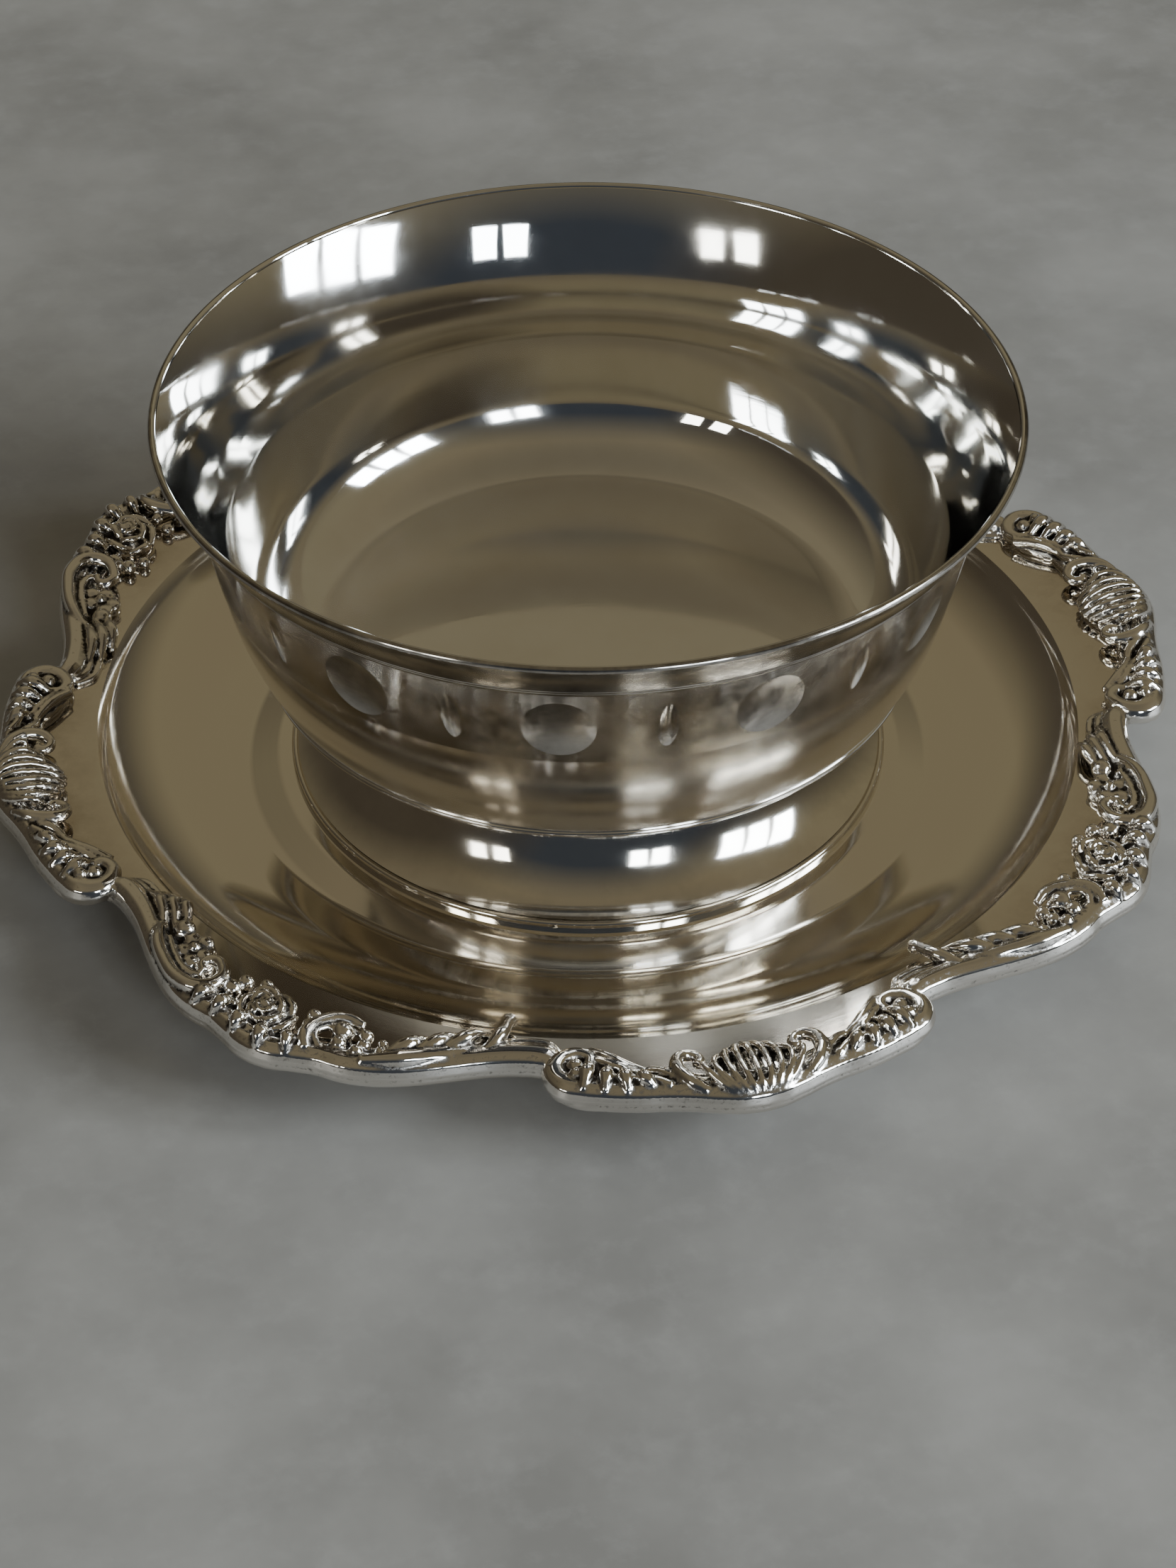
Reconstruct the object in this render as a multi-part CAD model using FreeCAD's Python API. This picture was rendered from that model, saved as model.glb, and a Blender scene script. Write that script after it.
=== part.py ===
"""Silver-plated sauce bowl on a spool foot, fixed to an underplate with a cast rose and shell border.

Units are millimetres and degrees.  Z is up, the object stands on Z = 0 and its axis is X = Y = 0.
Angles round the axis start at the front (-Y) and grow towards the right (+X).
"""
import FreeCAD, Part
import math
import os

from FreeCAD import Vector

# Bowl: one spun sheet, drops are measured down from the rim.
rim_radius = 63.5
lip_radius = 0.6
lip_under_angle = 60.0
rim_band_height = 8.1
rim_band_inset = 4.75
rim_band_hollow = 0.3
crease_step = 0.35
inner_flare = 1.6
crease_radius = 55.1
crease_drop = 22.1
base_radius = 48.9
base_drop = 40.4
wall_bulge = 0.95
bowl_wall = 1.15
wall_foot_drop = 33.0
floor_radius = 38.1
floor_corner_bulge = 2.3
bottom_thickness = 1.2
bowl_height = 42.8
base_bead_radius = 0.6

# Lens-cut hollows in the bowl's upper band: round ones, with a narrow one between each two.
hollow_count = 12
hollow_drop = 15.3
hollow_first_angle = 11.0
round_hollow_depth = 0.6
round_hollow_tool = 33.0
round_hollow_sweep = 24.0
narrow_hollow_depth = 0.4
narrow_hollow_tool = 3.0
narrow_hollow_sweep = 22.0

# Foot: a hollow spool of spun sheet.
foot_height = 19.2
neck_radius = 36.0
neck_height = 2.2
foot_base_radius = 46.0
foot_edge_height = 1.8
foot_flare_inset = 1.0
foot_flare_bulge = 2.6
foot_wall = 0.9
solder_leg = 1.5

# Underplate: one stamped sheet.
plate_thickness = 1.1
seat_margin = 1.6
seat_rise = 1.9
rest_inner_radius = 53.0
rest_outer_radius = 58.0
well_depth = 8.85
bevel_width = 1.2
bevel_drop = 1.75
well_wall_bulge = 2.2
flange_rise = 1.0

# Cast border: four shell sections and four rose-spray sections, alternating.
section_pairs = 4
shell_half_angle = 19.5
notch_radius = 83.0
notch_land = 7.6
shell_lobe_radius = 90.4
shell_end_step = 4.8
shell_tip_rise = 2.4
shell_tip_angle = 8.0
rose_lobe_radius = 90.6
rose_tip_rise = 2.2
rose_tip_angle = 6.0
notch_half_angle = 1.5
lobe_ramp_angle = 17.0
rail_width = 4.2
rail_height = 2.6
rail_drop = 1.1
rail_chamfer = 0.9
edge_lap = 1.8
edge_step_angle = 6.0
curl_size = 4.6
outline_step = 3.0
relief_height = 2.2
joint_gap = 0.25
joint_solder_radius = 0.8

# Heights and radii that follow from the driving dimensions.
seat_z = plate_thickness + seat_rise
bowl_bottom_z = seat_z + foot_height
rim_z = bowl_bottom_z + bowl_height
flange_z = plate_thickness + well_depth
seat_radius = foot_base_radius + seat_margin
foot_inner_radius = foot_base_radius - foot_flare_inset - 2 * foot_wall
well_edge_radius = notch_radius - notch_land
shell_end_fall = shell_lobe_radius - notch_radius - shell_end_step
pair_angle = 360.0 / section_pairs
border_outer_radius = max(shell_lobe_radius + shell_tip_rise, rose_lobe_radius + rose_tip_rise)


def stretch(start, end, bulge):
    """Return a straight edge, or an arc whose middle stands off the chord by bulge, to its right."""
    first = Vector(start[0], 0, start[1])
    last = Vector(end[0], 0, end[1])
    if abs(bulge) < 1e-9:
        return Part.LineSegment(first, last).toShape()
    along = (last - first).normalize()
    across = Vector(along.z, 0, -along.x)
    middle = (first + last) * 0.5 + across * bulge
    return Part.Arc(first, middle, last).toShape()


def turned(outline):
    """Revolve a closed outline of (radius, height, bulge of the stretch that follows) about Z."""
    edges = []
    for index, point in enumerate(outline):
        following = outline[(index + 1) % len(outline)]
        edges.append(stretch(point[:2], following[:2], point[2]))
    face = Part.Face(Part.Wire(edges))
    return face.revolve(Vector(0, 0, 0), Vector(0, 0, 1), 360)


def place(radius, angle, height=0.0):
    """Return the point at a radius and an angle round the axis."""
    turn = math.radians(angle)
    return Vector(radius * math.sin(turn), -radius * math.cos(turn), height)


def smooth(share):
    """Rise from 0 to 1 with level ends."""
    share = min(max(share, 0.0), 1.0)
    return share * share * (3 - 2 * share)


def turn_copy(shape, angle):
    """Return a copy of a shape turned about Z."""
    copy = shape.copy()
    copy.rotate(Vector(0, 0, 0), Vector(0, 0, 1), angle)
    return copy


# Bowl

def upper_band_radius(drop):
    """Outside radius of the band that carries the hollows, at a drop below the rim."""
    share = (drop - rim_band_height) / (crease_drop - rim_band_height)
    top = rim_radius - rim_band_inset - crease_step
    return top + (crease_radius + crease_step - top) * share


def band_lean():
    """Angle by which the upper band leans out from the vertical."""
    return math.degrees(math.atan2(rim_radius - rim_band_inset - 2 * crease_step - crease_radius,
                                   crease_drop - rim_band_height - crease_step))


def hollow_cutter(tool_radius, sweep_radius, depth, angle):
    """Barrel-shaped tool whose side dips into the band by depth, placed at an angle."""
    centre_gap = sweep_radius - tool_radius
    reach = sweep_radius * 0.3
    edge_radius = math.sqrt(sweep_radius ** 2 - reach ** 2) - centre_gap
    outline = [(0, -reach, 0), (edge_radius, -reach, sweep_radius - math.sqrt(sweep_radius ** 2 - reach ** 2)),
               (edge_radius, reach, 0), (0, reach, 0)]
    tool = turned(outline)
    lean = band_lean()
    tool.rotate(Vector(0, 0, 0), Vector(1, 0, 0), lean)
    outward = Vector(0, -math.cos(math.radians(lean)), -math.sin(math.radians(lean)))
    seat = Vector(0, -upper_band_radius(hollow_drop), rim_z - hollow_drop)
    tool.translate(seat + outward * (tool_radius - depth))
    return turn_copy(tool, angle)


def bowl_shell():
    """Bowl with a beaded lip on a flared rim band, two creases, a base bead and the ring of hollows."""
    band_radius = rim_radius - rim_band_inset
    under_lip = math.radians(lip_under_angle)
    under_lip_radius = rim_radius - lip_radius * (1 - math.cos(under_lip))
    under_lip_z = rim_z - lip_radius * (1 + math.sin(under_lip))
    under_lip_bulge = lip_radius * (1 - math.cos(under_lip / 2))
    quarter_bulge = lip_radius * (1 - math.cos(math.pi / 4))
    outline = [
        (0, bowl_bottom_z, 0),
        (base_radius - 3.0, bowl_bottom_z, 0.5),
        (base_radius, rim_z - base_drop, wall_bulge),
        (crease_radius, rim_z - crease_drop - crease_step, 0),
        (crease_radius + crease_step, rim_z - crease_drop, 0),
        (band_radius - crease_step, rim_z - rim_band_height - crease_step, 0),
        (band_radius, rim_z - rim_band_height, -rim_band_hollow),
        (under_lip_radius, under_lip_z, under_lip_bulge),
        (rim_radius, rim_z - lip_radius, quarter_bulge),
        (rim_radius - lip_radius, rim_z, quarter_bulge),
        (rim_radius - 2 * lip_radius, rim_z - lip_radius, inner_flare),
        (crease_radius - bowl_wall, rim_z - crease_drop, 0),
        (wall_foot_radius(), rim_z - wall_foot_drop, -floor_corner_bulge),
        (floor_radius, bowl_bottom_z + bottom_thickness, 0),
        (0, bowl_bottom_z + bottom_thickness, 0),
    ]
    shell = turned(outline)
    bead = Part.makeTorus(base_radius - base_bead_radius * 0.2, base_bead_radius,
                          Vector(0, 0, rim_z - base_drop))
    shell = shell.fuse(bead)
    spacing = 360.0 / hollow_count
    cutters = []
    for index in range(hollow_count):
        angle = hollow_first_angle + index * spacing
        cutters.append(hollow_cutter(round_hollow_tool, round_hollow_sweep, round_hollow_depth, angle))
        cutters.append(hollow_cutter(narrow_hollow_tool, narrow_hollow_sweep, narrow_hollow_depth,
                                     angle + spacing / 2))
    for cutter in cutters:
        shell = shell.cut(cutter)
    return shell.removeSplitter()


def wall_foot_radius():
    """Inside radius where the wall turns into the floor corner, a wall behind the lower band."""
    share = (wall_foot_drop - crease_drop) / (base_drop - crease_drop)
    return crease_radius + (base_radius - crease_radius) * share - bowl_wall + wall_bulge * 0.6


# Foot and its solder

def bowl_foot():
    """Hollow spool foot: a straight neck, a flare and a level base edge."""
    edge_z = seat_z + foot_edge_height
    flare_radius = foot_base_radius - foot_flare_inset
    outline = [
        (neck_radius - foot_wall, bowl_bottom_z, 0),
        (neck_radius - foot_wall, bowl_bottom_z - neck_height, foot_flare_bulge),
        (foot_inner_radius, seat_z + solder_leg, 0),
        (foot_inner_radius, seat_z, 0),
        (foot_base_radius, seat_z, 0),
        (foot_base_radius, edge_z - foot_flare_inset * 0.6, foot_flare_inset * 0.3),
        (flare_radius, edge_z, -foot_flare_bulge),
        (neck_radius, bowl_bottom_z - neck_height, 0),
        (neck_radius, bowl_bottom_z, 0),
    ]
    return turned(outline)


def solder_ring(radius, height, across, rise):
    """Solder bead in the corner of an upright face at radius and a level face at height."""
    outline = [(radius, height, 0),
               (radius + solder_leg * across, height, solder_leg * 0.15 * across * rise),
               (radius, height + solder_leg * rise, 0)]
    return turned(outline)


# Underplate

def border_radius(angle):
    """Outer radius of the border at an angle: shell lobes at the section axes, rose lobes between."""
    from_shell = abs((angle + pair_angle / 2) % pair_angle - pair_angle / 2)
    if from_shell <= shell_half_angle:
        fall = shell_end_fall * (from_shell / shell_half_angle) ** 3
        tip = shell_tip_rise * smooth(1 - from_shell / shell_tip_angle)
        return shell_lobe_radius - fall + tip
    return rose_radius(pair_angle / 2 - from_shell)


def rose_radius(from_rose):
    """Outer radius of a rose section at an angle from the middle of its lobe."""
    reach = pair_angle / 2 - shell_half_angle - notch_half_angle
    lobe = (rose_lobe_radius - notch_radius) * smooth((reach - abs(from_rose)) / lobe_ramp_angle)
    tip = rose_tip_rise * smooth(1 - abs(from_rose) / rose_tip_angle)
    return notch_radius + lobe + tip


def flange_outline_radius(angle):
    """Radius of the sheet's edge: inside the border by the lap, and without the border's steps."""
    from_shell = abs((angle + pair_angle / 2) % pair_angle - pair_angle / 2)
    if from_shell < shell_half_angle:
        blend = smooth((from_shell - shell_half_angle + edge_step_angle) / edge_step_angle)
        shell_edge = border_radius(angle)
        return shell_edge + (notch_radius - shell_edge) * blend - edge_lap
    return min(border_radius(angle), rose_lobe_radius) - edge_lap


def scalloped_blank(height):
    """Solid prism of the flange's outline, used to trim the turned plate."""
    steps = int(round(360 / outline_step))
    points = [place(flange_outline_radius(index * 360.0 / steps), index * 360.0 / steps, -1)
              for index in range(steps)]
    curve = Part.BSplineCurve()
    curve.interpolate(points, PeriodicFlag=True)
    return Part.Face(Part.Wire([curve.toShape()])).extrude(Vector(0, 0, height + 2))


def flange_height(radius):
    """Height of the flange's upper face at a radius."""
    return flange_z + flange_rise * (radius - well_edge_radius) / (border_outer_radius - well_edge_radius)


def underplate():
    """Sheet with a raised seat for the foot, a rest ring, a deep well, a bevel and the flange."""
    wall_top_radius = well_edge_radius - bevel_width
    wall_top_z = flange_z - bevel_drop
    lean = math.atan2(bevel_drop, bevel_width)
    under_shift = plate_thickness * math.tan(lean / 2)
    trim_radius = border_outer_radius + 1
    trim_z = flange_height(trim_radius)
    outline = [
        (0, seat_z, 0),
        (0, seat_rise, 0),
        (seat_radius, seat_rise, 0),
        (rest_inner_radius, 0, 0),
        (rest_outer_radius, 0, well_wall_bulge),
        (wall_top_radius + plate_thickness * 0.75, wall_top_z - plate_thickness * 0.6, 0),
        (well_edge_radius + under_shift, flange_z - plate_thickness, 0),
        (trim_radius, trim_z - plate_thickness, 0),
        (trim_radius, trim_z, 0),
        (well_edge_radius, flange_z, 0),
        (wall_top_radius, wall_top_z, -well_wall_bulge),
        (rest_outer_radius, plate_thickness, 0),
        (rest_inner_radius, plate_thickness, 0),
        (seat_radius, seat_z, 0),
    ]
    return turned(outline).common(scalloped_blank(trim_z))


# Border castings

def ribbon(low_angle, high_angle, radius_of, width, bottom, top):
    """Curved bar that follows the border's outer edge between two angles."""
    steps = max(4, int(round((high_angle - low_angle) / outline_step)))
    angles = [low_angle + (high_angle - low_angle) * index / steps for index in range(steps + 1)]
    edges = []
    sides = ([place(radius_of(angle), angle, bottom) for angle in angles],
             [place(radius_of(angle) - width, angle, bottom) for angle in reversed(angles)])
    for side in sides:
        curve = Part.BSplineCurve()
        curve.interpolate(side)
        edges.append(curve.toShape())
    outer, inner = edges
    edges = [outer, Part.LineSegment(sides[0][-1], sides[1][0]).toShape(),
             inner, Part.LineSegment(sides[1][-1], sides[0][0]).toShape()]
    return Part.Face(Part.Wire(edges)).extrude(Vector(0, 0, top - bottom))


def rail(low_angle, high_angle, radius_of):
    """Stepped moulding: a broad lower bar with a narrower bar on its middle."""
    bottom = flange_z - rail_drop
    step_z = flange_height(notch_radius) + rail_height - rail_chamfer
    lower = ribbon(low_angle, high_angle, radius_of, rail_width, bottom, step_z)

    def inset(angle):
        return radius_of(angle) - rail_chamfer

    upper = ribbon(low_angle, high_angle, inset, rail_width - 2 * rail_chamfer,
                   bottom + rail_chamfer, step_z + rail_chamfer)
    return lower.fuse(upper)


def dome(radius, angle, size, height):
    """Rounded boss that stands on the flange, cut from a ball sunk below the flange."""
    base = flange_height(radius)
    ball_radius = (size ** 2 + height ** 2) / (2 * height)
    ball = Part.makeSphere(ball_radius, place(radius, angle, base + height - ball_radius))
    slab = Part.makeCylinder(size + 1, height + 1, place(radius, angle, base - 0.3))
    return ball.common(slab)


def spoke(inner_radius, outer_radius, angle, size):
    """Rounded rib that lies along a radius on the flange."""
    start = place(inner_radius, angle, flange_height(inner_radius) + size * 0.4)
    end = place(outer_radius, angle, flange_height(outer_radius) + size * 0.4)
    rib = Part.makeCylinder(size, (end - start).Length, start, end - start)
    return rib.fuse(Part.makeSphere(size, start))


def joined(pieces):
    """Fuse pieces into one solid."""
    whole = pieces[0]
    for piece in pieces[1:]:
        whole = whole.fuse(piece)
    return whole.removeSplitter()


def shell_section(plate):
    """Casting centred on angle 0: rail, ribbed shell, and a leaf curl at each end."""
    half = shell_half_angle - joint_angle()
    pieces = [rail(-half, half, border_radius)]
    rib_count = 5
    for index in range(rib_count):
        angle = (index - (rib_count - 1) / 2) * 2.6
        reach = 13.0 - abs(angle) * 0.9
        pieces.append(spoke(shell_lobe_radius - reach, shell_lobe_radius - 1.5, angle, relief_height * 0.75))
    for side in (-1, 1):
        curl_radius = (shell_lobe_radius - shell_end_fall + notch_radius) / 2
        curl_angle = shell_half_angle - math.degrees(curl_size / curl_radius)
        pieces.append(dome(curl_radius - 1.0, side * curl_angle, curl_size, relief_height))
        pieces.append(dome(shell_lobe_radius - 5.0, side * (curl_angle - 5.0), 2.8, relief_height * 0.8))
    return joined(pieces).cut(plate)


def rose_section(plate):
    """Casting centred on angle 0: rail, rose with its petals, a small flower and two leaf masses."""
    half = pair_angle / 2 - shell_half_angle - joint_angle()
    pieces = [rail(-half, half, rose_radius)]
    pieces.append(dome(rose_lobe_radius - 4.5, 0.5, 5.6, relief_height * 1.5))
    for angle, inset, size in ((-13.0, 8.0, 4.0), (-8.0, 5.0, 3.6), (7.5, 5.0, 3.6), (12.5, 4.6, 3.0),
                               (17.0, 3.0, 2.6), (-18.0, 3.6, 3.0)):
        pieces.append(dome(rose_radius(angle) - inset, angle, size, relief_height))
    return joined(pieces).cut(plate)


def joint_angle():
    """Angle that half the gap between two castings takes up at the notch."""
    return math.degrees(joint_gap / 2 / notch_radius)


def joint_drops():
    """Angles of the butt joints between the castings."""
    return [pair * pair_angle + side * shell_half_angle for pair in range(section_pairs) for side in (-1, 1)]


def joint_solder(plate, castings):
    """Solder drop on the flange in the inner corner of each butt joint."""
    radius = notch_radius - rail_width - joint_solder_radius * 0.6
    drops = []
    for angle in joint_drops():
        centre = place(radius, angle, flange_height(radius) + joint_solder_radius * 0.2)
        drop = Part.makeSphere(joint_solder_radius, centre).cut(plate)
        for casting in castings:
            if drop.BoundBox.intersect(casting.BoundBox):
                drop = drop.cut(casting)
        drops.append(largest_solid(drop))
    return Part.makeCompound(drops)


def largest_solid(shape):
    """Return the biggest solid of a shape, leaving out slivers."""
    return max(shape.Solids, key=lambda solid: solid.Volume)


def build():
    """Return every node's shape by name."""
    plate = underplate()
    shapes = {
        "bowl_shell": bowl_shell(),
        "bowl_foot": bowl_foot(),
        "bowl_to_foot_solder": solder_ring(neck_radius, bowl_bottom_z, 1, -1),
        "foot_to_plate_solder": solder_ring(foot_inner_radius, seat_z, -1, 1),
        "underplate": plate,
    }
    shell = largest_solid(shell_section(plate))
    rose = largest_solid(rose_section(plate))
    mirrored_rose = rose.mirror(Vector(0, 0, 0), Vector(1, 0, 0))
    castings = []
    for index, side in enumerate(("front", "right", "back", "left")):
        castings.append(turn_copy(shell, index * pair_angle))
        shapes["border_shell_" + side] = castings[-1]
    for index in range(section_pairs):
        piece = mirrored_rose if index % 2 == 0 else rose
        castings.append(turn_copy(piece, (index + 0.5) * pair_angle))
        shapes["border_rose_%d" % (index + 1)] = castings[-1]
    shapes["border_joint_solder"] = joint_solder(plate, castings)
    return shapes


os.makedirs("parts", exist_ok=True)
for name, shape in build().items():
    print(name, "solids", len(shape.Solids), "valid", shape.isValid(), "volume", round(shape.Volume, 1))
    shape.exportStep("parts/%s.step" % name)
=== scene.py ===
import math

import bpy
from mathutils import Matrix, Vector


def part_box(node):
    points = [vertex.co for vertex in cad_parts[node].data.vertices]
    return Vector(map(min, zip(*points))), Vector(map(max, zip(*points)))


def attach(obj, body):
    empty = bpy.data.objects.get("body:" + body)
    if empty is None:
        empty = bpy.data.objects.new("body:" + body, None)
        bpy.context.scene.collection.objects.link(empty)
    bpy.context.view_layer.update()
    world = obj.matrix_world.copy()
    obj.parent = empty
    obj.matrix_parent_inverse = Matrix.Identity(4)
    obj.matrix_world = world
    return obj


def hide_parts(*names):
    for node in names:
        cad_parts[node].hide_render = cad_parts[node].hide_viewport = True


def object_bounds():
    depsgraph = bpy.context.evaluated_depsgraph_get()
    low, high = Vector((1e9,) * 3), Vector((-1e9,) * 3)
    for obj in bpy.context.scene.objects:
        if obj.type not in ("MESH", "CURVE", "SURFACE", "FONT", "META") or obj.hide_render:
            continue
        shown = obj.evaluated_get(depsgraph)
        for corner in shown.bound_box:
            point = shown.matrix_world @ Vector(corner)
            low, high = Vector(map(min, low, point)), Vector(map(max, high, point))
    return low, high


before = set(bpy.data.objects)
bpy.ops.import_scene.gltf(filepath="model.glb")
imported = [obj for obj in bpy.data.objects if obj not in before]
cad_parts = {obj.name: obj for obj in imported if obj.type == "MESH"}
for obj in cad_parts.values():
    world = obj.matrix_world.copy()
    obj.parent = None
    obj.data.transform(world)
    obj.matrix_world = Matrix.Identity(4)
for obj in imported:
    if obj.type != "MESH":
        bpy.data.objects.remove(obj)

# Sauce bowl on its foot and underplate. Metres; angles in degrees from the front (-Y) towards the right.
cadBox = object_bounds()
mm = 0.001

bowlLow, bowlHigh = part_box("bowl_shell")
footLow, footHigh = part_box("bowl_foot")
plateLow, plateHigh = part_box("underplate")
rimRadius = bowlHigh.x
rimHeight = bowlHigh.z


def startClean():
    if bpy.context.mode != "OBJECT":
        bpy.ops.object.mode_set(mode="OBJECT")
    bpy.ops.object.select_all(action="DESELECT")


def pick(pieces):
    startClean()
    for piece in pieces:
        piece.select_set(True)
    bpy.context.view_layer.objects.active = pieces[0]


def useModifier(piece, kind, **values):
    pick([piece])
    bpy.ops.object.modifier_add(type=kind)
    modifier = piece.modifiers[-1]
    for key, value in values.items():
        setattr(modifier, key, value)
    bpy.ops.object.modifier_apply(modifier=modifier.name)


def joinAll(pieces, name):
    pick(pieces)
    if len(pieces) > 1:
        bpy.ops.object.join()
    joined = bpy.context.object
    joined.name = name
    joined.data.name = name
    return joined


def faceOut(piece):
    pick([piece])
    bpy.ops.object.mode_set(mode="EDIT")
    bpy.ops.mesh.select_all(action="SELECT")
    bpy.ops.mesh.normals_make_consistent(inside=False)
    bpy.ops.object.mode_set(mode="OBJECT")


def copyPiece(piece, name, turn=0, mirrored=False):
    copy = piece.copy()
    copy.data = piece.data.copy()
    copy.name = name
    copy.data.name = name
    bpy.context.scene.collection.objects.link(copy)
    pick([copy])
    if mirrored:
        copy.scale.x = -1
        bpy.ops.object.transform_apply(location=False, rotation=False, scale=True)
        faceOut(copy)
    copy.rotation_euler.z = math.radians(turn)
    bpy.ops.object.transform_apply(location=False, rotation=True, scale=False)
    return copy


def smoothShare(share):
    share = min(max(share, 0), 1)
    return share * share * (3 - 2 * share)


# Turned sheet: a drawn profile, spun round the axis

def bend(start, end, bulge=0.0, steps=1):
    # points after start up to end; the middle stands off the chord by bulge, to the right of the way
    start, end = Vector(start), Vector(end)
    if not bulge:
        return [tuple(start.lerp(end, (i + 1) / steps)) for i in range(steps)]
    half = (end - start).length / 2
    radius = (half * half + bulge * bulge) / (2 * abs(bulge))
    along = (end - start).normalized()
    across = Vector((along.y, -along.x)) * (1 if bulge > 0 else -1)
    centre = (start + end) / 2 + across * (abs(bulge) - radius)
    sweep = 2 * math.asin(min(half / radius, 1))
    points = []
    for i in range(steps):
        turn = -sweep / 2 + sweep * (i + 1) / steps
        points.append(tuple(centre + across * radius * math.cos(turn) + along * radius * math.sin(turn)))
    return points


def drawProfile(corners):
    # corners: (radius, height, bulge, steps) where bulge and steps belong to the stretch that follows
    points = [corners[0][:2]]
    for here, following in zip(corners, corners[1:]):
        points += bend(here[:2], following[:2], here[2], here[3])
    return points


def turnPiece(name, corners, around):
    points = drawProfile(corners)
    startClean()
    bpy.ops.mesh.primitive_plane_add(size=mm)
    piece = bpy.context.object
    bpy.ops.object.mode_set(mode="EDIT")
    bpy.ops.mesh.select_all(action="SELECT")
    bpy.ops.mesh.merge(type="CENTER")
    bpy.ops.transform.translate(value=(points[0][0], 0, points[0][1]))
    for here, following in zip(points, points[1:]):
        move = (following[0] - here[0], 0, following[1] - here[1])
        bpy.ops.mesh.extrude_region_move(TRANSFORM_OT_translate={"value": move})
    bpy.ops.mesh.select_all(action="SELECT")
    bpy.ops.mesh.spin(steps=around, angle=2 * math.pi, center=(0, 0, 0), axis=(0, 0, 1))
    bpy.ops.mesh.select_all(action="SELECT")
    bpy.ops.mesh.remove_doubles(threshold=0.002 * mm)
    bpy.ops.mesh.normals_make_consistent(inside=False)
    bpy.ops.object.mode_set(mode="OBJECT")
    piece.name = name
    piece.data.name = name
    return piece


def shadeWithin(piece, angle):
    pick([piece])
    bpy.ops.object.shade_smooth_by_angle(angle=math.radians(angle))


# Materials

def newMaterial(name):
    material = bpy.data.materials.new(name)
    material.use_nodes = True
    nodes = material.node_tree.nodes
    return material, nodes, material.node_tree.links, nodes["Principled BSDF"]


def addMath(nodes, links, operation, first, second):
    node = nodes.new("ShaderNodeMath")
    node.operation = operation
    for socket, value in zip(node.inputs, (first, second)):
        if isinstance(value, (int, float)):
            socket.default_value = value
        else:
            links.new(value, socket)
    return node.outputs[0]


def addNoise(nodes, links, vector, scale, detail=4, rough=0.6):
    noise = nodes.new("ShaderNodeTexNoise")
    noise.inputs["Scale"].default_value = scale
    noise.inputs["Detail"].default_value = detail
    noise.inputs["Roughness"].default_value = rough
    links.new(vector, noise.inputs["Vector"])
    return noise.outputs["Fac"]


def remap(nodes, links, source, low, high, fromLow=0.35, fromHigh=0.65):
    ranged = nodes.new("ShaderNodeMapRange")
    for key, value in (("From Min", fromLow), ("From Max", fromHigh), ("To Min", low), ("To Max", high)):
        ranged.inputs[key].default_value = value
    links.new(source, ranged.inputs["Value"])
    return ranged.outputs["Result"]


def mixColours(nodes, links, share, first, second):
    mix = nodes.new("ShaderNodeMix")
    mix.data_type = "RGBA"
    links.new(share, mix.inputs["Factor"])
    for socket, value in ((mix.inputs["A"], first), (mix.inputs["B"], second)):
        if isinstance(value, tuple):
            socket.default_value = (*value, 1)
        else:
            links.new(value, socket)
    return mix.outputs["Result"]


def addBump(nodes, links, shader, heights):
    # heights: (source, distance in metres), laid one on another
    normal = None
    for source, distance in heights:
        bump = nodes.new("ShaderNodeBump")
        bump.inputs["Strength"].default_value = 1
        bump.inputs["Distance"].default_value = distance
        links.new(source, bump.inputs["Height"])
        if normal:
            links.new(normal, bump.inputs["Normal"])
        normal = bump.outputs["Normal"]
    links.new(normal, shader.inputs["Normal"])


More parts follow.
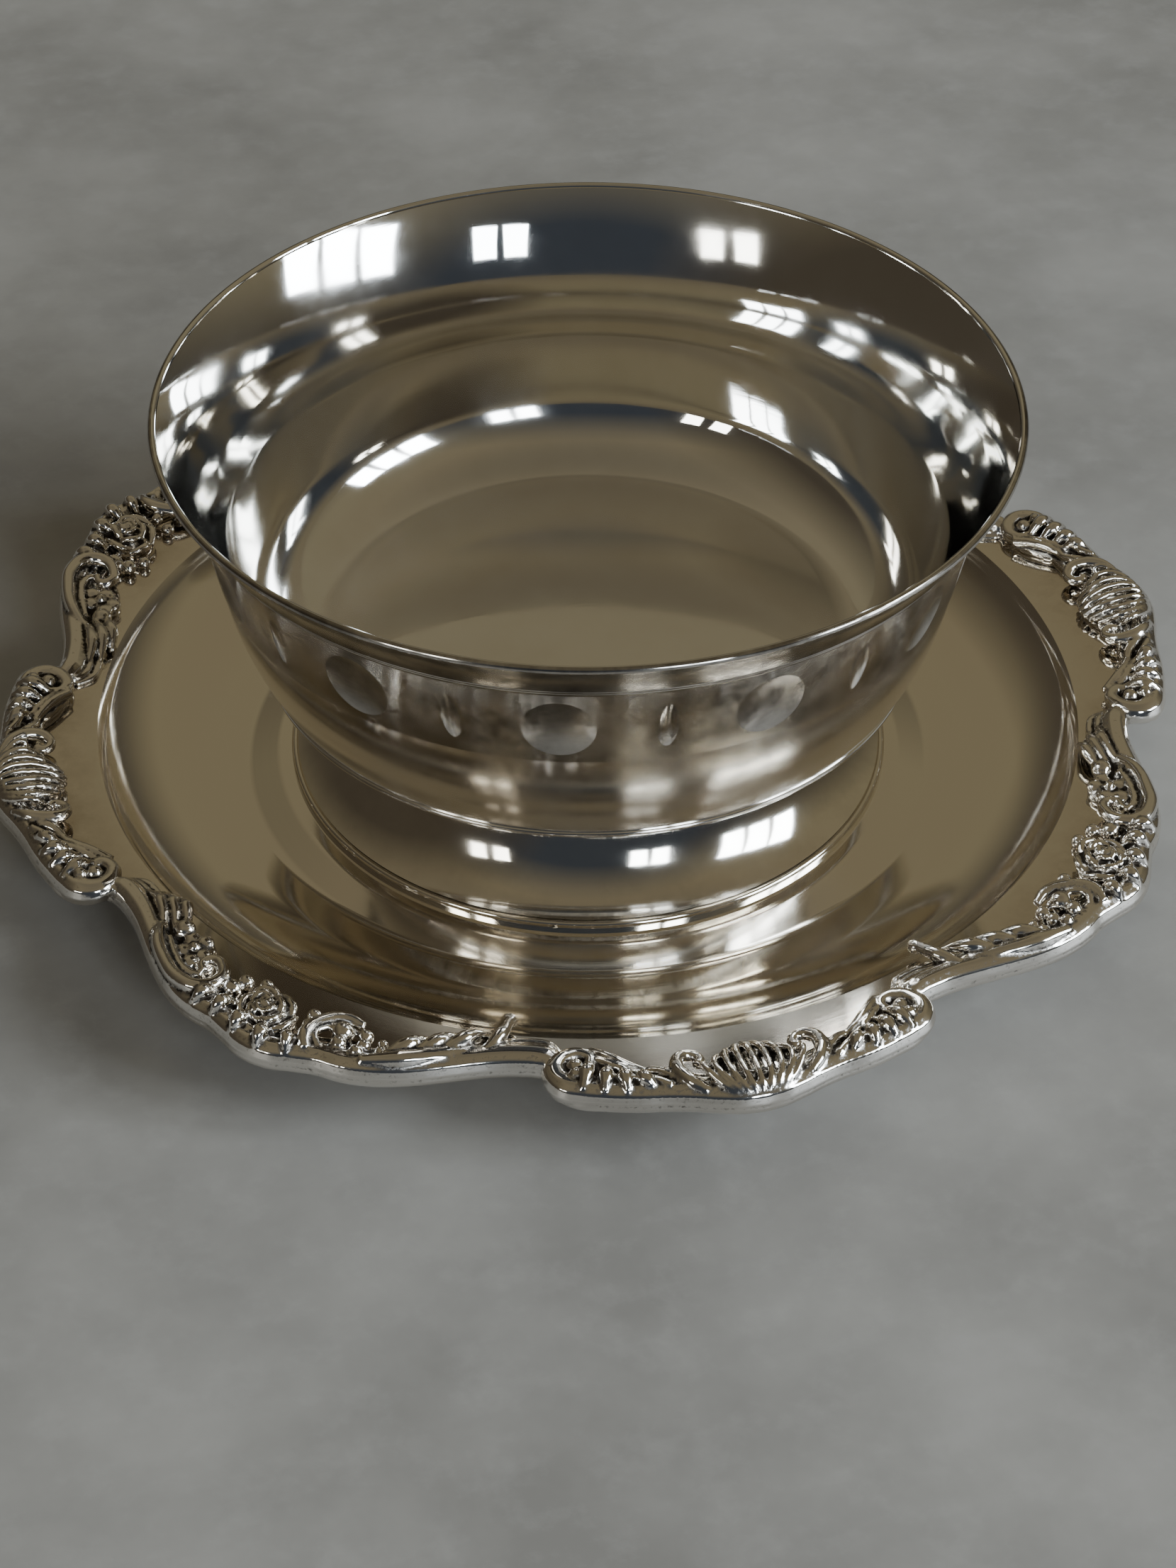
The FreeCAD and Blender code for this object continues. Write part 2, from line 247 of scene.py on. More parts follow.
def turnedSilver(name, look):
    # silver plate polished on the lathe: rings of fine wiping scratches, smudges and warm tarnish; the dark
    # radial band is tarnish on the underplate's flange, but on the bowl's outer band it is partly painted
    # shade standing in for a dark reflection
    material, nodes, links, shader = newMaterial(name)
    place = nodes.new("ShaderNodeTexCoord").outputs["Object"]
    apart = nodes.new("ShaderNodeSeparateXYZ")
    links.new(place, apart.inputs["Vector"])
    across = addMath(nodes, links, "MULTIPLY", apart.outputs["X"], apart.outputs["X"])
    deep = addMath(nodes, links, "MULTIPLY", apart.outputs["Y"], apart.outputs["Y"])
    radius = addMath(nodes, links, "SQRT", addMath(nodes, links, "ADD", across, deep), 0)
    rings = nodes.new("ShaderNodeCombineXYZ")
    links.new(radius, rings.inputs["X"])
    links.new(apart.outputs["Z"], rings.inputs["Y"])
    drift = addMath(nodes, links, "MULTIPLY", apart.outputs["X"], look["ringDrift"])
    links.new(drift, rings.inputs["Z"])
    fine = addNoise(nodes, links, rings.outputs["Vector"], look["ringScale"], 3, 0.7)
    broad = addNoise(nodes, links, rings.outputs["Vector"], look["ringScale"] / 9, 2, 0.5)
    grain = addNoise(nodes, links, place, look["grainScale"], 3, 0.6)
    smudge = addNoise(nodes, links, place, look["smudgeScale"], 5, 0.62)
    rough = remap(nodes, links, smudge, *look["roughness"])
    links.new(rough, shader.inputs["Roughness"])
    stains = addNoise(nodes, links, place, look["tarnishScale"], 6, 0.7)
    tarnishAndShade = remap(nodes, links, stains, 0, 1, 0.42, 0.72)
    # radial band of darkening: tarnish on the underplate's flange; on the bowl's outer band and rim band it
    # is partly painted shade, a dark reflection of the plate and border laid into the colour
    if look["tarnishAndShadeFrom"]:
        edge = remap(nodes, links, radius, 0, 1, *look["tarnishAndShadeFrom"])
        tarnishAndShade = addMath(nodes, links, "MULTIPLY", addMath(nodes, links, "ADD", tarnishAndShade, 0.35), edge)
    amount = addMath(nodes, links, "MULTIPLY", tarnishAndShade, look["tarnishAndShade"])
    colour = mixColours(nodes, links, amount, look["colour"], look["tarnishAndShadeColour"])
    links.new(colour, shader.inputs["Base Color"])
    shader.inputs["Metallic"].default_value = 1
    shader.inputs["Anisotropic"].default_value = look["brushed"]
    shader.inputs["Anisotropic Rotation"].default_value = 0.25
    around = nodes.new("ShaderNodeTangent")
    around.direction_type = "RADIAL"
    around.axis = "Z"
    links.new(around.outputs["Tangent"], shader.inputs["Tangent"])
    dents = addNoise(nodes, links, place, 28, 2, 0.4)
    heights = [(dents, look["dentBump"]), (fine, look["ringBump"]), (broad, look["waveBump"]),
               (grain, look["grainBump"])]
    addBump(nodes, links, shader, heights)
    return material


def castSilver(name, look):
    # cast ornament: bright where a cloth reaches, dark oxide left in the hollows
    material, nodes, links, shader = newMaterial(name)
    place = nodes.new("ShaderNodeTexCoord").outputs["Object"]
    worn = nodes.new("ShaderNodeAttribute")
    worn.attribute_name = "worn"
    speckle = addNoise(nodes, links, place, look["speckleScale"], 4, 0.7)
    reach = addMath(nodes, links, "ADD", worn.outputs["Fac"], remap(nodes, links, speckle, -0.08, 0.08))
    bright = remap(nodes, links, reach, 0, 1, *look["wornRange"])
    colour = mixColours(nodes, links, bright, look["oxide"], look["colour"])
    links.new(colour, shader.inputs["Base Color"])
    rough = remap(nodes, links, bright, look["oxideRoughness"], look["roughness"], 0, 1)
    links.new(rough, shader.inputs["Roughness"])
    shader.inputs["Metallic"].default_value = 1
    addBump(nodes, links, shader, [(speckle, look["speckleBump"])])
    return material


def giveMaterial(piece, material):
    piece.data.materials.clear()
    piece.data.materials.append(material)


def finishPiece(piece, slot, *nodes):
    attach(piece, "root")
    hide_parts(*nodes)


# Bowl

bowl = {
    "around": 384,
    "lipRadius": 0.6 * mm,
    "lipUnderAngle": 60.0,
    "bandHeight": 8.1 * mm,
    "bandInset": 4.75 * mm,
    "bandHollow": 0.3 * mm,
    "creaseStep": 0.35 * mm,
    "reedCount": 2,
    "reedPitch": 0.75 * mm,
    "reedDepth": 0.14 * mm,
    "innerFlare": 1.6 * mm,
    "creaseRadius": 55.1 * mm,
    "creaseDrop": 22.1 * mm,
    "baseRadius": 48.9 * mm,
    "baseDrop": 40.4 * mm,
    "wallBulge": 0.95 * mm,
    "wall": 1.15 * mm,
    "wallFootDrop": 33.0 * mm,
    "floorRadius": 38.1 * mm,
    "floorCornerBulge": 2.3 * mm,
    "floorThickness": 1.2 * mm,
    "beadRadius": 0.6 * mm,
    "hollowCount": 12,
    "hollowDrop": 15.3 * mm,
    "hollowFirstAngle": 11.0,
    "roundHollow": {"tool": 33.0 * mm, "sweep": 24.0 * mm, "depth": 0.6 * mm, "around": 400},
    "narrowHollow": {"tool": 3.0 * mm, "sweep": 22.0 * mm, "depth": 0.4 * mm, "around": 96},
}
# outer band and rim band: the dark tarnish colour laid over them is partly real tarnish and partly painted
# shade standing in for the dark reflection of the underplate and border
outsideLook = {
    "colour": (0.74, 0.71, 0.66), "tarnishAndShadeColour": (0.16, 0.145, 0.13), "tarnishAndShade": 0.85, "tarnishScale": 55,
    "tarnishAndShadeFrom": (0.0545, 0.0562), "ringScale": 2600, "ringDrift": 0.02, "ringBump": 5e-6,
    "waveBump": 8e-6,
    "grainScale": 900, "grainBump": 3e-7, "dentBump": 6e-5, "smudgeScale": 60, "roughness": (0.10, 0.20),
    "brushed": 0.75,
}
insideLook = {
    "colour": (0.84, 0.83, 0.80), "tarnishAndShadeColour": (0.60, 0.55, 0.46), "tarnishAndShade": 0.25, "tarnishScale": 30,
    "tarnishAndShadeFrom": None, "ringScale": 2200, "ringDrift": 0.05, "ringBump": 1.5e-6, "waveBump": 6e-6,
    "grainScale": 700, "grainBump": 1e-7, "dentBump": 1.6e-4, "smudgeScale": 45, "roughness": (0.03, 0.10),
    "brushed": 0.4,
}


def reedLines(b, start, end):
    # fine grooves just above the rim band's lower edge, as corners for the profile
    along = (Vector(end) - Vector(start)).normalized()
    inwards = Vector((-along.y, along.x))
    corners = []
    for line in range(b["reedCount"]):
        for share, depth in ((0, 0), (0.5, b["reedDepth"]), (1, 0)):
            reach = b["reedPitch"] * (line + 0.6 + 0.5 * share)
            spot = Vector(start) + along * reach + inwards * depth
            corners.append((spot.x, spot.y, 0, 1))
    return corners


def bowlCorners(b):
    lip = b["lipRadius"]
    underLip = math.radians(b["lipUnderAngle"])
    band = rimRadius - b["bandInset"]
    quarter = lip * (1 - math.cos(math.pi / 4))
    share = (b["wallFootDrop"] - b["creaseDrop"]) / (b["baseDrop"] - b["creaseDrop"])
    outerWall = b["creaseRadius"] + (b["baseRadius"] - b["creaseRadius"]) * share
    wallFoot = outerWall - b["wall"] + b["wallBulge"] * 0.6
    bead = b["beadRadius"]
    base = rimHeight - b["baseDrop"]
    step = b["creaseStep"]
    bandFoot = (band, rimHeight - b["bandHeight"])
    lipFoot = (rimRadius - lip * (1 - math.cos(underLip)), rimHeight - lip * (1 + math.sin(underLip)))
    reeds = reedLines(b, bandFoot, lipFoot)
    return [
        (0, bowlLow.z, 0, 4),
        (b["baseRadius"] - 3.0 * mm, bowlLow.z, 0.5 * mm, 5),
        (b["baseRadius"] - bead * 0.3, base - bead * 0.8, bead * 0.8, 8),
        (b["baseRadius"] + bead * 0.4, base + bead * 0.6, b["wallBulge"], 28),
        (b["creaseRadius"], rimHeight - b["creaseDrop"] - step, -0.05 * mm, 3),
        (b["creaseRadius"] + step, rimHeight - b["creaseDrop"], 0, 8),
        (band - step, rimHeight - b["bandHeight"] - step, -0.04 * mm, 3),
        (*bandFoot, 0, 1),
        *reeds[:-1],
        (*reeds[-1][:2], -b["bandHollow"], 18),
        (*lipFoot, lip * (1 - math.cos(underLip / 2)), 6),
        (rimRadius, rimHeight - lip, quarter, 7),
        (rimRadius - lip, rimHeight, quarter, 7),
        (rimRadius - 2 * lip, rimHeight - lip, b["innerFlare"], 44),
        (b["creaseRadius"] - b["wall"], rimHeight - b["creaseDrop"], -0.25 * mm, 14),
        (wallFoot, rimHeight - b["wallFootDrop"], -b["floorCornerBulge"], 32),
        (b["floorRadius"], bowlLow.z + b["floorThickness"], 0, 6),
        (0, bowlLow.z + b["floorThickness"], 0, 1),
    ]


def hollowTools(b):
    # barrel cutters, laid against the band that leans out between the rim band and the crease
    topRadius = rimRadius - b["bandInset"] - b["creaseStep"]
    lowRadius = b["creaseRadius"] + b["creaseStep"]
    lean = math.atan2(topRadius - lowRadius, b["creaseDrop"] - b["bandHeight"] - b["creaseStep"])
    share = (b["hollowDrop"] - b["bandHeight"]) / (b["creaseDrop"] - b["bandHeight"])
    seat = Vector((0, -topRadius - (lowRadius - topRadius) * share, rimHeight - b["hollowDrop"]))
    outward = Vector((0, -math.cos(lean), -math.sin(lean)))
    tools = []
    for hollow, start in ((b["roundHollow"], 0), (b["narrowHollow"], 0.5)):
        tool, sweep = hollow["tool"], hollow["sweep"]
        reach = 0.3 * sweep
        edge = math.sqrt(sweep ** 2 - reach ** 2) - (sweep - tool)
        corners = [(0, -reach, 0, 1), (edge, -reach, tool - edge, 40), (edge, reach, 0, 1),
                   (0, reach, 0, 1)]
        cutter = turnPiece("hollowTool", corners, hollow["around"])
        cutter.rotation_euler.x = lean
        cutter.location = seat + outward * (tool - hollow["depth"])
        bpy.ops.object.transform_apply(location=True, rotation=True, scale=True)
        for index in range(b["hollowCount"]):
            turn = b["hollowFirstAngle"] + (index + start) * 360 / b["hollowCount"]
            tools.append(copyPiece(cutter, "hollowTool", turn=turn))
        bpy.data.objects.remove(cutter)
    return joinAll(tools, "hollowTools")


def makeBowl(b):
    shell = turnPiece("bowlShell", bowlCorners(b), b["around"])
    tools = hollowTools(b)
    useModifier(shell, "BOOLEAN", operation="DIFFERENCE", solver="EXACT", object=tools)
    bpy.data.objects.remove(tools)
    shadeWithin(shell, 9)
    outside = turnedSilver("bowlOutsideSilver", outsideLook)
    giveMaterial(shell, outside)
    shell.data.materials.append(turnedSilver("bowlInsideSilver", insideLook))
    for face in shell.data.polygons:
        towardsAxis = face.normal.x * face.center.x + face.normal.y * face.center.y < 0
        onFloor = face.normal.z > 0.5 and face.center.z < rimHeight - 2 * b["lipRadius"]
        face.material_index = 1 if towardsAxis or onFloor else 0
    finishPiece(shell, "silver_plate", "bowl_shell")
    print("bowl made", len(shell.data.polygons))
    return shell


# Foot and its solder

foot = {
    "around": 320,
    "neckRadius": 36.0 * mm,
    "neckHeight": 2.2 * mm,
    "edgeHeight": 1.8 * mm,
    "flareInset": 1.0 * mm,
    "flareBulge": 2.6 * mm,
    "wall": 0.9 * mm,
    "solderLeg": 1.5 * mm,
    "solderSag": 0.15,
    "solderLumps": (17, 5, 0.1),
}
footLook = dict(outsideLook, colour=(0.84, 0.80, 0.72), tarnishAndShade=0.2,
                tarnishAndShadeFrom=None, roughness=(0.04, 0.10), ringBump=2e-6, waveBump=6e-6, brushed=0.2)


def makeFoot(f):
    baseRadius = footHigh.x
    edge = footLow.z + f["edgeHeight"]
    flare = baseRadius - f["flareInset"]
    footInner = flare - 2 * f["wall"]
    corners = [
        (f["neckRadius"] - f["wall"], footHigh.z, 0, 4),
        (f["neckRadius"] - f["wall"], footHigh.z - f["neckHeight"], f["flareBulge"], 24),
        (footInner, footLow.z + f["solderLeg"], 0, 3),
        (footInner, footLow.z, 0, 3),
        (baseRadius, footLow.z, 0, 3),
        (baseRadius, edge - 0.6 * f["flareInset"], 0.3 * f["flareInset"], 8),
        (flare, edge, -f["flareBulge"], 48),
        (f["neckRadius"], footHigh.z - f["neckHeight"], 0, 4),
        (f["neckRadius"], footHigh.z, 0, 3),
        (f["neckRadius"] - f["wall"], footHigh.z, 0, 1),
    ]
    spool = turnPiece("footSpool", corners, f["around"])
    shadeWithin(spool, 20)
    giveMaterial(spool, turnedSilver("footSilver", footLook))
    finishPiece(spool, "silver_plate", "bowl_foot")
    print("foot made")


def solderRing(name, radius, height, across, rise, material, node):
    leg = foot["solderLeg"]
    fine, coarse, swing = foot["solderLumps"]
    sag = leg * foot["solderSag"] * across * rise
    corners = [(radius, height, 0, 2), (radius + leg * across, height, sag, 6),
               (radius, height + leg * rise, 0, 2), (radius, height, 0, 1)]
    ring = turnPiece(name, corners, 240)
    for vertex in ring.data.vertices:
        turn = math.atan2(vertex.co.x, -vertex.co.y)
        proud = math.hypot(vertex.co.x, vertex.co.y) - radius
        lump = 1 - swing + swing * math.sin(fine * turn) * math.sin(coarse * turn + 1)
        vertex.co.x = math.sin(turn) * (radius + proud * lump)
        vertex.co.y = -math.cos(turn) * (radius + proud * lump)
    shadeWithin(ring, 40)
    giveMaterial(ring, material)
    finishPiece(ring, "solder", node)


# Underplate

plate = {
    "around": 480,
    "thickness": 1.1 * mm,
    "seatMargin": 1.6 * mm,
    "seatRise": 1.9 * mm,
    "restInner": 53.0 * mm,
    "restOuter": 58.0 * mm,
    "wellEdge": 75.4 * mm,
    "wellDepth": 8.85 * mm,
    "bevelWidth": 1.2 * mm,
    "bevelDrop": 1.75 * mm,
    "wellBulge": 2.2 * mm,
    "flangeRise": 1.0 * mm,
    "edgeLap": 1.8 * mm,
}
plateLook = {
    "colour": (0.83, 0.79, 0.71), "tarnishAndShadeColour": (0.30, 0.21, 0.13), "tarnishAndShade": 0.75,
    "tarnishScale": 70,
    "tarnishAndShadeFrom": (0.074, 0.087), "ringScale": 1900, "ringDrift": 0.03, "ringBump": 2.5e-6,
    "waveBump": 1.2e-5,
    "grainScale": 1400, "grainBump": 2e-7, "dentBump": 8e-5, "brushed": 0.45, "smudgeScale": 50,
    "roughness": (0.05, 0.12),
}

border = {
    "shellHalf": 19.5,
    "notchRadius": 83.0 * mm,
    "shellRadius": 90.4 * mm,
    "shellFall": 2.6 * mm,
    "shellTip": 2.4 * mm,
    "shellTipAngle": 8.0,
    "roseRadius": 90.6 * mm,
    "roseTip": 2.2 * mm,
    "roseTipAngle": 6.0,
    "notchHalf": 1.5,
    "ramp": 17.0,
    "stepReach": 6.0,
    "jointGap": 0.08,
    "degreeLength": 1.52,
    "dropInset": 4.2 * mm,
    "dropRadius": 0.8 * mm,
    "dropShape": (1.1, 0.8, 0.7),
    "railWidth": 2.2,
    "reedWidth": 0.6,
    "hookReach": 4.6,
    "wireTuck": ((0.7, 0.3, 0.95), (1.5, 1.3, 0.75), (2.2, 2.6, 0.5)),
    "voxel": 0.25 * mm,
    "wornSpread": 14,
    "crestHeight": 0.6 * mm,
}
flangeHeight = plate["thickness"] + plate["wellDepth"]
borderRadius = cadBox[1][0]


def shellEdge(angle):
    away = abs(angle)
    fall = border["shellFall"] * (away / border["shellHalf"]) ** 3
    tip = border["shellTip"] * smoothShare(1 - away / border["shellTipAngle"])
    return border["shellRadius"] - fall + tip


def roseEdge(angle):
    reach = 45 - border["shellHalf"] - border["notchHalf"]
    lobe = (border["roseRadius"] - border["notchRadius"]) * smoothShare((reach - abs(angle)) / border["ramp"])
    tip = border["roseTip"] * smoothShare(1 - abs(angle) / border["roseTipAngle"])
    return border["notchRadius"] + lobe + tip


def sheetEdge(angle):
    fromShell = abs((angle + 45) % 90 - 45)
    if fromShell < border["shellHalf"]:
        share = smoothShare((fromShell - border["shellHalf"] + border["stepReach"]) / border["stepReach"])
        edge = shellEdge(fromShell)
        return edge + (border["notchRadius"] - edge) * share - plate["edgeLap"]
    return min(roseEdge(45 - fromShell), border["roseRadius"]) - plate["edgeLap"]


def flangeTop(radius):
    rise = plate["flangeRise"] * (radius - plate["wellEdge"])
    return flangeHeight + rise / (borderRadius - plate["wellEdge"])


def makePlate(p):
    wallTop = p["wellEdge"] - p["bevelWidth"]
    wallTopHeight = flangeHeight - p["bevelDrop"]
    seatRadius = footHigh.x + p["seatMargin"]
    seat = p["thickness"] + p["seatRise"]
    underShift = p["thickness"] * math.tan(math.atan2(p["bevelDrop"], p["bevelWidth"]) / 2)
    outer = borderRadius
    corners = [
        (0, p["seatRise"], 0, 8),
        (seatRadius, p["seatRise"], 0, 4),
        (p["restInner"], 0, 0, 3),
        (p["restOuter"], 0, p["wellBulge"], 32),
        (wallTop + p["thickness"] * 0.75, wallTopHeight - p["thickness"] * 0.6, 0, 3),
        (p["wellEdge"] + underShift, flangeHeight - p["thickness"], 0, 16),
        (outer, flangeTop(outer) - p["thickness"], 0, 2),
        (outer, flangeTop(outer), 0, 16),
        (p["wellEdge"], flangeHeight, 0.06 * mm, 6),
        (wallTop, wallTopHeight, -p["wellBulge"], 48),
        (p["restOuter"], p["thickness"], 0, 6),
        (p["restInner"], p["thickness"], 0, 6),
        (seatRadius, seat, 0, 4),
        (0, seat, 0, 1),
    ]
    sheet = turnPiece("underplateSheet", corners, p["around"])
    start = p["wellEdge"] + 3 * mm
    for vertex in sheet.data.vertices:
        vertex.co.z = max(vertex.co.z, 0)
        radius = math.hypot(vertex.co.x, vertex.co.y)
        if radius > start:
            angle = math.degrees(math.atan2(vertex.co.x, -vertex.co.y))
            wanted = start + (radius - start) / (outer - start) * (sheetEdge(angle) - start)
            vertex.co.x *= wanted / radius
            vertex.co.y *= wanted / radius
            vertex.co.z += flangeTop(wanted) - flangeTop(radius)
    shadeWithin(sheet, 20)
    giveMaterial(sheet, turnedSilver("underplateSilver", plateLook))
    finishPiece(sheet, "plate_silver", "underplate")
    print("underplate made")


# Border castings. A spot is (angle, inset from the outer edge, lift above the flange), in degrees and mm.

def spotOn(edge, angle, inset, lift):
    radius = edge(angle) - inset * mm
    turn = math.radians(angle)
    return Vector((radius * math.sin(turn), -radius * math.cos(turn), flangeTop(radius) + lift * mm))


def strand(edge, spots, widths):
    # rounded rod through the spots, its half-width in mm given at each; ends are closed
    curve = bpy.data.curves.new("strand", "CURVE")
    curve.dimensions = "3D"
    curve.bevel_depth = mm
    curve.bevel_resolution = 3
    curve.resolution_u = 8
    curve.use_fill_caps = True
    spline = curve.splines.new("BEZIER")
    spline.bezier_points.add(len(spots) - 1)
    for point, spot, width in zip(spline.bezier_points, spots, widths):
        point.co = spotOn(edge, *spot)
        point.radius = width
        point.handle_left_type = point.handle_right_type = "AUTO"
    rod = bpy.data.objects.new("strand", curve)
    bpy.context.scene.collection.objects.link(rod)
    pick([rod])
    bpy.ops.object.convert(target="MESH")
    return bpy.context.object


def bud(edge, spot, size, lean=(0, 0, 0)):
    # rounded lump, size in mm along the edge, inwards and up
    place = spotOn(edge, *spot)
    startClean()
    bpy.ops.mesh.primitive_ico_sphere_add(subdivisions=3, radius=1)
    lump = bpy.context.object
    turn = Matrix.Rotation(math.radians(spot[0]), 4, "Z")
    tilt = Matrix.Rotation(math.radians(lean[2]), 4, "Z") @ Matrix.Rotation(math.radians(lean[0]), 4, "X")
    tilt = tilt @ Matrix.Rotation(math.radians(lean[1]), 4, "Y")
    grow = Matrix.Diagonal((size[0] * mm, size[1] * mm, size[2] * mm, 1))
    lump.matrix_world = Matrix.Translation(place) @ turn @ tilt @ grow
    bpy.ops.object.transform_apply(location=True, rotation=True, scale=True)
    return lump


def railRods(edge, low, high, tuck=()):
    # plain moulding: a heavy outer rail, and two fine reeds on its inner side. tuck carries both ends on,
    # a (degrees past the end, mm outwards, share of the width) at a time, into the neighbour's hook
    steps = max(6, int((high - low) / 2.2))
    angles = [low + (high - low) * i / steps for i in range(steps + 1)]
    rail, reed = border["railWidth"], border["reedWidth"]
    rods = []
    for inset, lift, width in ((rail, 0.5, rail), (rail - 0.7, -0.3, rail - 0.7),
                               (2 * rail + 0.25, 0.8, reed),
                               (2 * rail + 1.55, 0.35, reed)):
        spots = [(a, inset, lift) for a in angles]
        widths = [width] * len(angles)
        for past, outwards, share in tuck:
            spots = [(low - past, inset - outwards, lift)] + spots + [(high + past, inset - outwards, lift)]
            widths = [width * share] + widths + [width * share]
        rods.append(strand(edge, spots, widths))
    return rods


def leafCurl(edge, side, end):
    # hooked leaf at a shell section's end: the rail rolls inwards round two balls, a straight inner ridge,
    # and pointed lobes folded over the rail. at() counts mm from the section's end,
    # with degreeLength mm of rail to a degree
    def at(along, inset, lift):
        return (side * (end - along / border["degreeLength"]), inset, lift)
    rail = border["railWidth"]
    parts = [
        strand(edge, [at(9.0, rail, 0.5), at(6.0, rail, 0.5), at(3.6, rail + 0.2, 0.6),
                      at(2.1, rail + 1.6, 0.9),
                      at(2.3, rail + 3.6, 1.2), at(3.6, rail + 5.3, 1.4), at(5.6, rail + 6.2, 1.5),
                      at(7.1, rail + 5.4, 1.6),
                      at(6.7, rail + 4.2, 1.6)],
               [rail, rail, rail, 1.9, 1.6, 1.35, 1.15, 0.95, 0.75]),
        strand(edge, [at(9.0, rail - 0.6, -0.3), at(5.6, rail - 0.6, -0.3), at(3.0, rail + 0.4, -0.3),
                      at(1.9, rail + 3.0, 0.1)],
               [rail - 0.6, rail - 0.6, rail - 0.8, 1.2]),
        bud(edge, at(4.9, 5.5, 1.9), (1.2, 1.2, 1.2)),
        bud(edge, at(5.0, 3.3, 2.5), (1.0, 1.0, 1.0)),
        bud(edge, at(5.3, 5.4, 0.3), (2.9, 3.0, 1.1)),
        bud(edge, at(9.4, 5.6, 0.3), (6.2, 2.9, 1.6), lean=(0, 0, side * 28)),
        strand(edge, [at(6.9, 9.3, 1.5), at(10.0, 7.6, 2.1), at(13.6, 5.9, 1.9), at(17.4, 4.7, 1.3)],
               [0.85, 0.85, 0.65, 0.35]),
        strand(edge, [at(7.4, 7.6, 1.9), at(10.8, 6.0, 2.3), at(14.6, 4.2, 2.0)], [0.5, 0.55, 0.35]),
    ]
    for root, middle, tip in (((7.4, 6.6), (6.6, 3.6), (6.0, 0.9)), ((9.4, 5.8), (9.2, 3.2), (8.9, 0.8)),
                              ((11.4, 5.0), (11.8, 3.0), (12.1, 0.9)),
                              ((13.4, 4.4), (14.4, 2.9), (15.8, 1.5))):
        parts.append(strand(edge, [at(*root, 1.6), at(*middle, 3.0), at(*tip, 2.1)], [0.6, 1.15, 0.35]))
    return parts


def shellFan(edge):
    # pleated shell that folds over the rail, with a curl at each side
    parts = [bud(edge, (0, 6.0, 0.2), (7.0, 5.2, 1.9)), bud(edge, (0, 3.2, 0.9), (5.6, 2.8, 1.9))]
    for rib in range(5):
        inset = 11.9 - 0.26 * rib * rib
        for side in (-1, 1) if rib else (1,):
            spots = [(side * 0.42 * rib, 0.8, 1.4), (side * 0.88 * rib, 2.3, 3.1),
                     (side * 1.18 * rib, 5.0, 3.7),
                     (side * 1.10 * rib, inset - 2.4, 2.9), (side * 0.80 * rib, inset, 1.2)]
            parts.append(strand(edge, spots, [0.45, 0.5, 0.5, 0.55, 0.6]))
    for side in (-1, 1):
        parts.append(strand(edge, [(side * 4.6, 1.4, 2.0), (side * 5.9, 2.6, 2.6), (side * 6.8, 5.0, 2.6),
                                   (side * 6.5, 7.4, 2.3),
                                   (side * 5.3, 8.6, 2.0), (side * 4.5, 7.6, 2.1), (side * 5.0, 6.4, 2.2)],
                            [0.7, 1.05, 1.1, 1.0, 0.85, 0.75, 0.8]))
        parts.append(strand(edge, [(side * 6.6, 2.4, 2.3), (side * 8.0, 4.6, 2.2), (side * 9.6, 5.6, 1.7),
                                   (side * 11.6, 4.9, 1.2)],
                            [0.7, 0.8, 0.65, 0.4]))
        parts.append(strand(edge, [(side * 7.6, 1.8, 2.6), (side * 9.4, 3.2, 2.6),
                                   (side * 12.0, 3.4, 2.3)], [0.5, 0.6, 0.35]))
    return parts


def flowerHead(edge, spot, size, petals):
    # open flower: cupped petals about a ball
    angle, inset, lift = spot
    degree = math.radians(1) * (edge(angle) - inset * mm) / mm
    parts = [bud(edge, (angle, inset, lift + 0.5), (0.3 * size, 0.3 * size, 0.36 * size)),
             bud(edge, (angle, inset, lift - 0.8), (size * 1.05, size * 1.05, size * 0.5))]
    for petal in range(petals):
        turn = 0.4 + 2 * math.pi * petal / petals
        along, inwards = math.cos(turn) * 0.68 * size / degree, math.sin(turn) * 0.68 * size
        parts.append(bud(edge, (angle + along, inset + inwards, lift + 0.2),
                         (0.44 * size, 0.44 * size, 0.26 * size)))
    return parts


def roseHead(edge, spot, size):
    # full rose: rings of upright overlapping petals about a tight heart
    angle, inset, lift = spot
    degree = math.radians(1) * (edge(angle) - inset * mm) / mm
    parts = [bud(edge, (angle, inset, lift - 0.9), (size, size * 0.95, size * 0.55)),
             bud(edge, (angle, inset, lift + 1.6), (size * 0.2, size * 0.2, size * 0.22))]
    for petals, reach, rise, width in ((5, 0.95, 0.0, 0.62), (4, 0.6, 0.9, 0.55), (3, 0.3, 1.5, 0.42)):
        span = 2 * math.pi / petals * 1.02
        for petal in range(petals):
            start = 2 * math.pi * petal / petals + reach * 3
            spots = []
            for share, out, up in ((0, 0.84, 0.1), (0.3, 1.0, 0.4), (0.6, 1.04, 0.45), (1.0, 1.12, 0.0)):
                turn = start + span * share
                spots.append((angle + math.cos(turn) * reach * out * size / degree,
                              inset + math.sin(turn) * reach * out * size,
                              lift + rise + up))
            parts.append(strand(edge, spots, [width * 0.7, width, width, width * 0.55]))
    return parts


